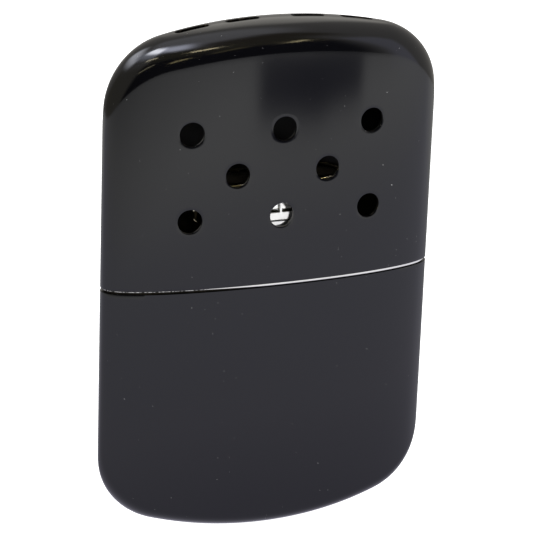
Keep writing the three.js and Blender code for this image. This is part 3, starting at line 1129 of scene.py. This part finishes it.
# Each soft lamp: azimuth, elevation, distance, width and power.
SOFT_LAMPS = [
    (12, 8, 650 * MM, 90 * MM, 4.6),
    (0, 90, 700 * MM, 500 * MM, 2.4),
    (200, 25, 650 * MM, 300 * MM, 2.0),
]
ROOM_CENTRE = Vector((0, 0, 90 * MM))
ROOM_RADIUS = 375 * MM
ROOM_COLUMNS = 180
ROOM_ROWS = 52
ROOM_FOOT = -14
ROOM_COLOR = (0.52, 0.5, 0.47)
ALL_ROUND = (-180, 180)
# Each patch of the room: from and to azimuth, from and to elevation, the width of its soft edge,
# all in degrees, and its colour.
ROOM_PATCHES = [
    ((-110, -36), (-20, 32), 14, (0.34, 0.32, 0.26)),
    (ALL_ROUND, (68, 100), 12, (1.1, 1.1, 1.15)),
    ((-140, -86), (37, 57), 16, (5.2, 5.3, 5.8)),
    ((-100, -40), (48, 66), 12, (2.0, 2.1, 2.4)),
    ((-70, -6), (62, 80), 12, (5.6, 5.8, 7.0)),
    ((-88, -44), (60, 74), 9, (17.0, 17.4, 19.0)),
    ((4, 64), (50, 72), 14, (0.2, 0.17, 0.1)),
    ((-42, 41), (28, 56), 10, (0.2, 0.18, 0.1)),
    ((-46, 41), (-20, 34), 12, (0.02, 0.017, 0.008)),
    ((46, 63), (-20, 40), 6, (0.82, 0.82, 0.96)),
    ((136, 170), (24, 56), 14, (1.4, 1.35, 1.25)),
]
CARD_RADIUS = 276 * MM
CARD_FROM = 17.5
# Each row of the card: height at its left and right edge, and the azimuth of its right edge.
CARD_ROWS = [
    (0, 0, 27.5), (4 * MM, 4 * MM, 30.5), (8 * MM, 8 * MM, 36.8), (18.3 * MM, 21.5 * MM, 37.2)
]
CARD_COLOR = (0.1, 0.1, 0.14, 1)
CARD_STEPS = 12
# Strip lamps far off in front: from and to (azimuth, elevation) and colour.
STRIP_WIDTH = 1.8
STRIP_RADIUS = ROOM_RADIUS - 8 * MM
STRIP_LAMPS = [
    ((-52, 43), (-34, 46), (12.0, 10.8, 7.5)),
    ((-44, 19), (-29, 27), (3.4, 3.1, 2.0)),
    ((-11, 17), (-4, 25), (6.0, 5.1, 2.6)),
    ((-5, 47), (6, 49), (22.0, 19.0, 12.0)),
    ((4, 27), (14, 35), (1.4, 1.2, 0.6)),
    ((26, 33), (34, 40), (8.0, 6.9, 4.0)),
]


def studio_world():
    world = bpy.data.worlds.new("studio_world")
    bpy.context.scene.world = world
    world.use_nodes = True
    tree = world.node_tree
    rays = node(tree, "ShaderNodeLightPath").outputs
    seen = computed("MAXIMUM", rays["Is Camera Ray"], rays["Is Glossy Ray"])
    seen = computed("MAXIMUM", seen, rays["Is Transmission Ray"])
    strength = spread(seen, WORLD_DIFFUSE, 1.0)
    plug(tree.nodes["Background"], Color=(1, 1, 1, 1), Strength=strength)


def room_point(azimuth, elevation, radius):
    return ROOM_CENTRE + radius * direction(azimuth, elevation)


def soft_lamp(azimuth, elevation, distance, width, power):
    """A round lamp that lights the warmer, but that its gloss doesn't mirror."""
    data = bpy.data.lights.new("soft_lamp", "AREA")
    set_up(data, shape="DISK", size=width, energy=power)
    place = room_point(azimuth, elevation, distance)
    turn = (place - ROOM_CENTRE).to_track_quat("Z", "Y").to_matrix().to_4x4()
    put_in_scene("soft_lamp", data, matrix_world=Matrix.Translation(place) @ turn,
                 visible_glossy=False, visible_camera=False)


def stage_object(name, bm, material, **settings):
    thing = mesh_in_scene(name, bm, [material], **settings)


def towards(place, azimuth):
    """How far a point lies in a level direction."""
    return computed("DOT_PRODUCT", place, direction(azimuth), kind="ShaderNodeVectorMath")


def floor_gloss(tree):
    """Colour of the floor as the gloss sees it."""
    place = node(tree, "ShaderNodeTexCoord").outputs["Object"]
    away = computed("LENGTH", place, kind="ShaderNodeVectorMath")
    ahead = computed("ABSOLUTE", towards(place, FLOOR_BRIGHT_AZIMUTH))
    reach = computed("MULTIPLY", away, 1 - FLOOR_BRIGHT_SHARE)
    reach = computed("ADD", reach, computed("MULTIPLY", ahead, FLOOR_BRIGHT_SHARE))
    bright = graded(computed("DIVIDE", reach, FLOOR_GLOSS_REACH), *FLOOR_GLOSS)
    past_line = share_between(towards(place, FLOOR_DARK_AZIMUTH), FLOOR_DARK_LINE)
    back = computed("DIVIDE", towards(place, FLOOR_BACK_AZIMUTH), away)
    dark = computed("MAXIMUM", past_line, share_between(back, FLOOR_BACK_SHARE))
    return mixed(dark, bright, FLOOR_DARK_COLOR)


def studio_floor():
    material, tree, shader = new_material(
        "studio_floor", Roughness=1.0, Specular_IOR_Level=0.0, Emission_Color=(1, 1, 1, 1))
    rays = node(tree, "ShaderNodeLightPath").outputs
    seen = computed("MAXIMUM", rays["Is Camera Ray"], rays["Is Transmission Ray"])
    plug(shader, Emission_Strength=computed("MULTIPLY", seen, FLOOR_LIFT),
         Base_Color=mixed(rays["Is Diffuse Ray"], FLOOR_COLOR, FLOOR_BOUNCE))
    glow = node(tree, "ShaderNodeEmission", Color=floor_gloss(tree), Strength=FLOOR_GLOSS_LEVEL)
    either = node(tree, "ShaderNodeMixShader", Fac=rays["Is Glossy Ray"])
    feed(either.inputs[1], shader.outputs["BSDF"])
    feed(either.inputs[2], glow.outputs["Emission"])
    plug(tree.nodes["Material Output"], Surface=either.outputs["Shader"])
    bm = bmesh.new()
    bmesh.ops.create_grid(bm, x_segments=1, y_segments=1, size=FLOOR_HALF)
    stage_object("studio_floor", bm, material)


def painted_light():
    """Light as bright as the colour painted on the mesh."""
    material, tree, shader = new_material("painted_light")
    material.cycles.emission_sampling = "NONE"
    tree.nodes.remove(shader)
    paint = node(tree, "ShaderNodeAttribute", attribute_name="paint")
    glow = node(tree, "ShaderNodeEmission", Color=paint.outputs["Color"])
    plug(tree.nodes["Material Output"], Surface=glow.outputs["Emission"])
    return material


def painted_sheets(name, light, sheets):
    """Sheets of light that only a gloss mirrors. Each is a grid of cells, and a rule that gives
    a vertex its place and colour from its share of the way across and its row."""
    bm = bmesh.new()
    paint = bm.verts.layers.float_color.new("paint")
    for across, along, rule in sheets:
        for v, i, j in grid_cells(bm, across, along):
            v.co, v[paint] = rule(i / across, j)
    stage_object(name, bm, light, visible_camera=False, visible_diffuse=False,
                 visible_transmission=False, visible_shadow=False)


def within(value, span, soft):
    """1 inside the span, 0 outside, and soft between."""
    return eased((value - span[0]) / soft + 0.5) * eased((span[1] - value) / soft + 0.5)


def room(share, row):
    azimuth = 360 * share - 180
    elevation = ROOM_FOOT + (90 - ROOM_FOOT) * row / ROOM_ROWS
    light = Vector(ROOM_COLOR)
    for azimuths, elevations, soft, color in ROOM_PATCHES:
        there = within(elevation, elevations, soft)
        if azimuths != ALL_ROUND:
            there *= within(azimuth, azimuths, soft)
        light = light.lerp(Vector(color), there)
    return room_point(azimuth, elevation, ROOM_RADIUS), (*light, 1)


def card(share, row):
    left_height, right_height, right = CARD_ROWS[row]
    place = CARD_RADIUS * direction(CARD_FROM + (right - CARD_FROM) * share)
    place.z = left_height + (right_height - left_height) * share
    return place, CARD_COLOR


def strip(start, stop, color):
    along = Vector(stop) - Vector(start)
    side = Vector((-along.y, along.x)).normalized() * STRIP_WIDTH

    def corner(share, row):
        place = Vector(start) + along * share + side * (row - 0.5)
        return room_point(*place, STRIP_RADIUS), (*color, 1)

    return 1, 1, corner


studio_world()
for lamp in SOFT_LAMPS:
    soft_lamp(*lamp)
studio_floor()
room_paint = painted_light()
painted_sheets("gloss_room", room_paint, [(ROOM_COLUMNS, ROOM_ROWS, room)])
painted_sheets("dark_card", room_paint, [(CARD_STEPS, len(CARD_ROWS) - 1, card)])
painted_sheets("strip_lamps", room_paint, [strip(*lamp) for lamp in STRIP_LAMPS])
bpy.context.scene.view_settings.view_transform = "Standard"
